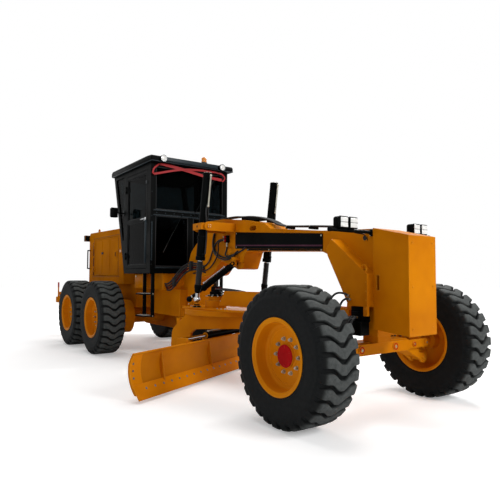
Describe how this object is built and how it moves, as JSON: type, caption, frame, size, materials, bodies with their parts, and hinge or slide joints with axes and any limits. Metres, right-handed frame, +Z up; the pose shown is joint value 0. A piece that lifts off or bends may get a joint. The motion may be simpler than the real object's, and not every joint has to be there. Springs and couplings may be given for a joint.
{
  "type": "motor grader",
  "caption": "Six-wheel motor grader with arched frame, angled blade under a toothed circle, leaning front wheels, hinged cab doors, articulated rear frame and rear ripper.",
  "frame": {"origin": "on the ground, midway between the front of the ballast box and the rear of the ripper, on the machine's centre plane", "axes": "+X forward, +Y to the machine's left, +Z up"},
  "size_m": [9.126, 3.9198, 3.518],
  "materials": {
    "yellow": "satin yellow paint",
    "black": "satin black paint",
    "tyre": "worn black tyre rubber",
    "steel": "bare worn steel",
    "chrome": "hard chrome rod",
    "glass": "lightly tinted glass",
    "iron": "dark cast iron",
    "fabric": "dark seat fabric"
  },
  "bodies": {
    "front_frame": {"main_frame": "yellow", "cab_base": "yellow", "front_box": "yellow", "work_lamps": "black", "front_axle": "yellow", "cylinder_brackets": "yellow", "beam_panels": "black", "cab_frame": "black", "cab_glass": "glass", "cab_roof": "black", "seat": "fabric", "controls": "black", "steps": "black"},
    "lean_left": {"lean_yoke_left": "yellow"},
    "lean_right": {"lean_yoke_right": "yellow"},
    "lean_link": {"lean_bar": "yellow"},
    "steer_left": {"knuckle_left": "yellow"},
    "steer_right": {"knuckle_right": "yellow"},
    "tie": {"tie_rod": "yellow"},
    "wheel_front_left": {"rim_front_left": "yellow", "tyre_front_left": "tyre"},
    "wheel_front_right": {"rim_front_right": "yellow", "tyre_front_right": "tyre"},
    "wheel_mid_left": {"rim_mid_left": "yellow", "tyre_mid_left": "tyre"},
    "wheel_mid_right": {"rim_mid_right": "yellow", "tyre_mid_right": "tyre"},
    "wheel_rear_left": {"rim_rear_left": "yellow", "tyre_rear_left": "tyre"},
    "wheel_rear_right": {"rim_rear_right": "yellow", "tyre_rear_right": "tyre"},
    "swivel": {"drawbar_swivel": "yellow"},
    "drawbar_frame": {"drawbar": "yellow", "circle_gearbox": "yellow"},
    "circle_ring": {"circle": "yellow"},
    "blade_tilt": {"blade_saddle": "yellow"},
    "blade": {"moldboard": "yellow", "cutting_edge": "steel", "side_shift_rod": "chrome"},
    "lift_ring_left": {"lift_yoke_left": "yellow"},
    "lift_cylinder_left": {"lift_barrel_left": "black"},
    "lift_piston_left": {"lift_rod_left": "chrome"},
    "door_left": {"cab_door_left": "black", "door_glass_left": "glass"},
    "engine_door_left": {"hood_door_left": "yellow"},
    "lift_ring_right": {"lift_yoke_right": "yellow"},
    "lift_cylinder_right": {"lift_barrel_right": "black"},
    "lift_piston_right": {"lift_rod_right": "chrome"},
    "door_right": {"cab_door_right": "black", "door_glass_right": "glass"},
    "engine_door_right": {"hood_door_right": "yellow"},
    "shift_joint": {"shift_yoke": "yellow"},
    "shift_cylinder": {"shift_barrel": "black"},
    "shift_piston": {"shift_rod": "chrome"},
    "rear_chassis": {"rear_frame": "yellow", "tandem_cases": "yellow", "hood": "yellow", "engine": "iron"},
    "ripper_beam": {"ripper": "yellow"}
  },
  "joints": [
    {"name": "articulation", "type": "hinge", "parent": "front_frame", "child": "rear_chassis", "pos_m": [-1, 0, 0.96], "axis": [0, 0, 1], "range_deg": [-20, 20]},
    {"name": "lean_left", "type": "hinge", "parent": "front_frame", "child": "lean_left", "pos_m": [3.9, 0.83, 0.47], "axis": [1, 0, 0], "range_deg": [-18, 18]},
    {"name": "steer_left", "type": "hinge", "parent": "lean_left", "child": "steer_left", "pos_m": [3.9, 0.9, 0.66], "axis": [0, 0, 1], "range_deg": [-45, 45]},
    {"name": "roll_front_left", "type": "hinge", "parent": "steer_left", "child": "wheel_front_left", "pos_m": [3.9, 1.075, 0.65803], "axis": [0, 1, 0], "continuous": true},
    {"name": "roll_mid_left", "type": "hinge", "parent": "rear_chassis", "child": "wheel_mid_left", "pos_m": [-1.449, 1.03, 0.65803], "axis": [0, 1, 0], "continuous": true},
    {"name": "roll_rear_left", "type": "hinge", "parent": "rear_chassis", "child": "wheel_rear_left", "pos_m": [-2.971, 1.03, 0.65803], "axis": [0, 1, 0], "continuous": true},
    {"name": "lean_right", "type": "hinge", "parent": "front_frame", "child": "lean_right", "pos_m": [3.9, -0.83, 0.47], "axis": [1, 0, 0], "range_deg": [-18, 18]},
    {"name": "steer_right", "type": "hinge", "parent": "lean_right", "child": "steer_right", "pos_m": [3.9, -0.9, 0.66], "axis": [0, 0, 1], "range_deg": [-45, 45]},
    {"name": "roll_front_right", "type": "hinge", "parent": "steer_right", "child": "wheel_front_right", "pos_m": [3.9, -1.075, 0.65803], "axis": [0, 1, 0], "continuous": true},
    {"name": "roll_mid_right", "type": "hinge", "parent": "rear_chassis", "child": "wheel_mid_right", "pos_m": [-1.449, -1.03, 0.65803], "axis": [0, 1, 0], "continuous": true},
    {"name": "roll_rear_right", "type": "hinge", "parent": "rear_chassis", "child": "wheel_rear_right", "pos_m": [-2.971, -1.03, 0.65803], "axis": [0, 1, 0], "continuous": true},
    {"name": "lean_bar", "type": "hinge", "parent": "lean_left", "child": "lean_link", "pos_m": [4.01, 0.83, 0.65], "axis": [1, 0, 0], "range_deg": [-18, 18]},
    {"name": "tie_rod", "type": "slide", "parent": "front_frame", "child": "tie", "axis": [0, 1, 0], "range_m": [-0.105, 0.105]},
    {"name": "swing", "type": "hinge", "parent": "front_frame", "child": "swivel", "pos_m": [3.65, 0, 1], "axis": [0, 0, 1], "range_deg": [-12, 12]},
    {"name": "drawbar_lift", "type": "hinge", "parent": "swivel", "child": "drawbar_frame", "pos_m": [3.65, 0, 1], "axis": [0, 1, 0], "range_deg": [-10, 8]},
    {"name": "circle_turn", "type": "hinge", "parent": "drawbar_frame", "child": "circle_ring", "pos_m": [1.4, 0, 0.9], "axis": [0, 0, 1], "continuous": true},
    {"name": "blade_tip", "type": "hinge", "parent": "circle_ring", "child": "blade_tilt", "pos_m": [0.98585, -0.20021, 0.3], "axis": [-0.4352, 0.9003, 0], "range_deg": [-5, 30]},
    {"name": "blade_shift", "type": "slide", "parent": "blade_tilt", "child": "blade", "axis": [0.4352, -0.9003, 0], "range_m": [-0.5, 0.5]},
    {"name": "lift_ring_left", "type": "hinge", "parent": "front_frame", "child": "lift_ring_left", "pos_m": [1.42, 0.6, 2.1], "axis": [1, 0, 0], "range_deg": [-27, 27]},
    {"name": "lift_trunnion_left", "type": "hinge", "parent": "lift_ring_left", "child": "lift_cylinder_left", "pos_m": [1.42, 0.6, 2.1], "axis": [0, 1, 0], "range_deg": [-8, 8]},
    {"name": "lift_rod_left", "type": "slide", "parent": "lift_cylinder_left", "child": "lift_piston_left", "axis": [-0.1535, 0, -0.9881], "range_m": [-0.34, 0.42]},
    {"name": "cab_door_left", "type": "hinge", "parent": "front_frame", "child": "door_left", "pos_m": [-1.06, 0.762, 2.36], "axis": [0, 0, 1], "range_deg": [0, 80]},
    {"name": "engine_door_left", "type": "hinge", "parent": "rear_chassis", "child": "engine_door_left", "pos_m": [-3.26, 0.592, 1.81], "axis": [0, 0, 1], "range_deg": [0, 90]},
    {"name": "lift_ring_right", "type": "hinge", "parent": "front_frame", "child": "lift_ring_right", "pos_m": [1.42, -0.6, 2.1], "axis": [1, 0, 0], "range_deg": [-27, 27]},
    {"name": "lift_trunnion_right", "type": "hinge", "parent": "lift_ring_right", "child": "lift_cylinder_right", "pos_m": [1.42, -0.6, 2.1], "axis": [0, 1, 0], "range_deg": [-8, 8]},
    {"name": "lift_rod_right", "type": "slide", "parent": "lift_cylinder_right", "child": "lift_piston_right", "axis": [-0.1535, 0, -0.9881], "range_m": [-0.34, 0.42]},
    {"name": "cab_door_right", "type": "hinge", "parent": "front_frame", "child": "door_right", "pos_m": [-1.06, -0.762, 2.36], "axis": [0, 0, -1], "range_deg": [0, 80]},
    {"name": "engine_door_right", "type": "hinge", "parent": "rear_chassis", "child": "engine_door_right", "pos_m": [-3.26, -0.592, 1.81], "axis": [0, 0, -1], "range_deg": [0, 90]},
    {"name": "shift_yoke", "type": "hinge", "parent": "front_frame", "child": "shift_joint", "pos_m": [1.65, -0.215, 1.58], "axis": [0, 0, 1], "range_deg": [-41, 41]},
    {"name": "shift_barrel", "type": "hinge", "parent": "shift_joint", "child": "shift_cylinder", "pos_m": [1.65, -0.215, 1.58], "axis": [0.4317, -0.902, 0], "range_deg": [-19, 24]},
    {"name": "shift_rod", "type": "slide", "parent": "shift_cylinder", "child": "shift_piston", "axis": [-0.7493, -0.3586, -0.5567], "range_m": [-0.23, 0.285]},
    {"name": "ripper_lift", "type": "hinge", "parent": "rear_chassis", "child": "ripper_beam", "pos_m": [-3.85, 0, 0.78], "axis": [0, 1, 0], "range_deg": [-25, 15]}
  ],
  "couplings": [
    {"joint": "lean_right", "follows": "lean_left", "ratio": 1},
    {"joint": "lean_bar", "follows": "lean_left", "ratio": -1},
    {"joint": "steer_right", "follows": "steer_left", "ratio": 1},
    {"joint": "tie_rod", "follows": "steer_left", "m_per_rad": -0.126},
    {"joint": "lift_ring_left", "follows": "swing", "ratio": -2.04},
    {"joint": "lift_ring_right", "follows": "swing", "ratio": -2.04},
    {"joint": "lift_trunnion_left", "follows": "swing", "ratio": 0.51},
    {"joint": "lift_trunnion_right", "follows": "swing", "ratio": -0.51},
    {"joint": "lift_rod_left", "follows": "drawbar_lift", "m_per_rad": -2.364},
    {"joint": "lift_rod_right", "follows": "drawbar_lift", "m_per_rad": -2.364},
    {"joint": "shift_yoke", "follows": "swing", "ratio": 3.259},
    {"joint": "shift_barrel", "follows": "drawbar_lift", "ratio": -2.261},
    {"joint": "shift_rod", "follows": "drawbar_lift", "m_per_rad": -1.579}
  ]
}
